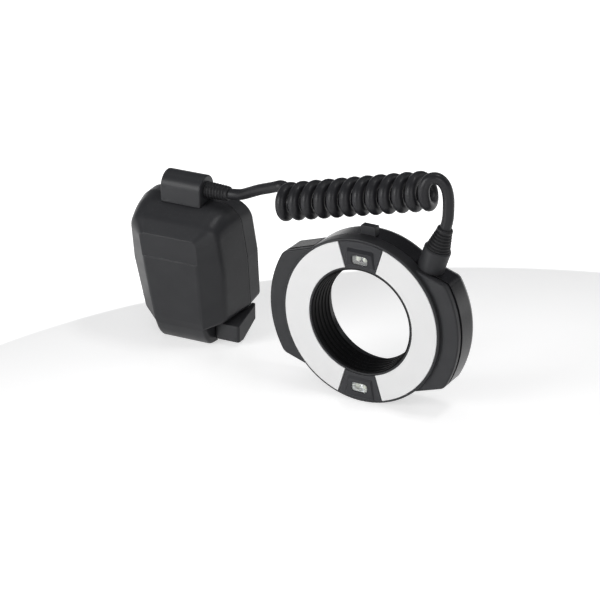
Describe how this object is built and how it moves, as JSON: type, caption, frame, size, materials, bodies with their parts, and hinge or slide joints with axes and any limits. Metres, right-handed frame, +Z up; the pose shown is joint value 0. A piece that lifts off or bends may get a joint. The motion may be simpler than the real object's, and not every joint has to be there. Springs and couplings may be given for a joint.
{
  "type": "macro ring flash",
  "caption": "Macro ring flash: shoe-mounted control unit with display and dial, coiled cord, and a ring-shaped lamp head that clips around a lens.",
  "frame": {"origin": "centre of the mounting foot's lower face", "axes": "+X from the control unit to the ring, along the object's length; -Y is where the ring's white face looks; +Z up"},
  "size_m": [0.2345, 0.0695, 0.145],
  "materials": {
    "black_casing": "fine matte texture with satin edges",
    "black_rubber": "matte",
    "black_gloss": "polished",
    "grey_marking": "matte",
    "white_diffuser": "translucent white, smooth",
    "clear_window": "clear",
    "tube_glass": "clear",
    "bare_steel": "brushed",
    "polished_reflector": "bright rolled",
    "contact_brass": "gold-plated",
    "board_green": "solder mask",
    "cell_wrap": "printed sleeve without markings",
    "capacitor_wrap": "shrink sleeve",
    "display_grey": "liquid-crystal panel",
    "led_yellow": "resin lens",
    "cord_black": "satin jacket"
  },
  "bodies": {
    "housing": {"battery_cells": "cell_wrap", "battery_cradle": "black_casing", "bore_sleeve": "black_rubber", "cable_box": "black_casing", "casing_screws": "bare_steel", "cell_contacts": "contact_brass", "coiled_cord": "cord_black", "controller_lead": "cord_black", "controller_strain_relief": "black_rubber", "cord_collar": "black_casing", "diffuser_left": "white_diffuser", "diffuser_right": "white_diffuser", "display_window": "clear_window", "door_hinge_pin": "bare_steel", "flash_capacitor": "capacitor_wrap", "flash_reflector_left": "polished_reflector", "flash_reflector_right": "polished_reflector", "flash_tube_left": "tube_glass", "flash_tube_right": "tube_glass", "foot_contacts": "contact_brass", "front_casing": "black_casing", "lamp_leds": "led_yellow", "lamp_panel_bottom": "black_casing", "lamp_panel_top": "black_casing", "lamp_reflector_bottom": "polished_reflector", "lamp_reflector_top": "polished_reflector", "lamp_window_bottom": "clear_window", "lamp_window_top": "clear_window", "lcd_panel": "display_grey", "main_board": "board_green", "mounting_foot": "bare_steel", "rear_casing": "black_casing", "ring_board": "board_green", "ring_front_cover": "black_casing", "ring_lead": "cord_black", "ring_rear_cover": "black_casing", "ring_screws": "bare_steel", "ring_strain_relief": "black_rubber", "shoe_block": "black_casing", "step_up_transformer": "black_gloss"},
    "door": {"battery_door": "black_casing"},
    "lever": {"lock_lever": "black_casing"},
    "pin": {"locking_pin": "bare_steel"},
    "dial": {"select_dial": "black_casing"},
    "set_key": {"set_button": "grey_marking"},
    "switch": {"power_switch": "black_casing"},
    "lamp_key": {"lamp_button": "grey_marking"},
    "test_key": {"test_button": "grey_marking"},
    "latch": {"latch_slider": "black_casing", "release_tab": "black_casing", "latch_springs": "bare_steel"},
    "function_key_1": {"function_button_1": "grey_marking"},
    "function_key_2": {"function_button_2": "grey_marking"},
    "function_key_3": {"function_button_3": "grey_marking"},
    "function_key_4": {"function_button_4": "grey_marking"}
  },
  "joints": [
    {"name": "door_hinge", "type": "hinge", "parent": "housing", "child": "door", "pos_m": [-0.03143, -0.00309, 0.0266], "axis": [0.1871, -0.9643, -0.1874], "range_deg": [0, 95]},
    {"name": "lock_lever_turn", "type": "hinge", "parent": "housing", "child": "lever", "pos_m": [0, 0, 0.0097], "axis": [0, 0, 1], "range_deg": [0, 35]},
    {"name": "locking_pin_slide", "type": "slide", "parent": "housing", "child": "pin", "axis": [0, 0, -1], "range_m": [0, 0.0016]},
    {"name": "select_dial_turn", "type": "hinge", "parent": "housing", "child": "dial", "pos_m": [0, 0.01523, 0.0377], "axis": [0, 0.9816, 0.1908], "continuous": true},
    {"name": "power_switch_turn", "type": "hinge", "parent": "housing", "child": "switch", "pos_m": [-0.0205, 0.01542, 0.03672], "axis": [0, 0.9816, 0.1908], "range_deg": [0, 60]},
    {"name": "set_press", "type": "slide", "parent": "housing", "child": "set_key", "axis": [0, -0.9816, -0.1908], "range_m": [0, 0.0006], "stiffness_N_per_m": 900},
    {"name": "lamp_press", "type": "slide", "parent": "housing", "child": "lamp_key", "axis": [0, -0.9816, -0.1908], "range_m": [0, 0.0006], "stiffness_N_per_m": 900},
    {"name": "test_press", "type": "slide", "parent": "housing", "child": "test_key", "axis": [0, -0.9816, -0.1908], "range_m": [0, 0.0006], "stiffness_N_per_m": 900},
    {"name": "function_press_1", "type": "slide", "parent": "housing", "child": "function_key_1", "axis": [0, -0.9816, -0.1908], "range_m": [0, 0.0006], "stiffness_N_per_m": 900},
    {"name": "function_press_2", "type": "slide", "parent": "housing", "child": "function_key_2", "axis": [0, -0.9816, -0.1908], "range_m": [0, 0.0006], "stiffness_N_per_m": 900},
    {"name": "function_press_3", "type": "slide", "parent": "housing", "child": "function_key_3", "axis": [0, -0.9816, -0.1908], "range_m": [0, 0.0006], "stiffness_N_per_m": 900},
    {"name": "function_press_4", "type": "slide", "parent": "housing", "child": "function_key_4", "axis": [0, -0.9816, -0.1908], "range_m": [0, 0.0006], "stiffness_N_per_m": 900},
    {"name": "latch_press", "type": "slide", "parent": "housing", "child": "latch", "axis": [0, 0, -1], "range_m": [0, 0.002], "stiffness_N_per_m": 800, "springref_m": -0.002, "deforming": ["latch_springs"]}
  ],
  "couplings": [
    {"joint": "locking_pin_slide", "follows": "lock_lever_turn", "m_per_rad": 0.0026192}
  ]
}
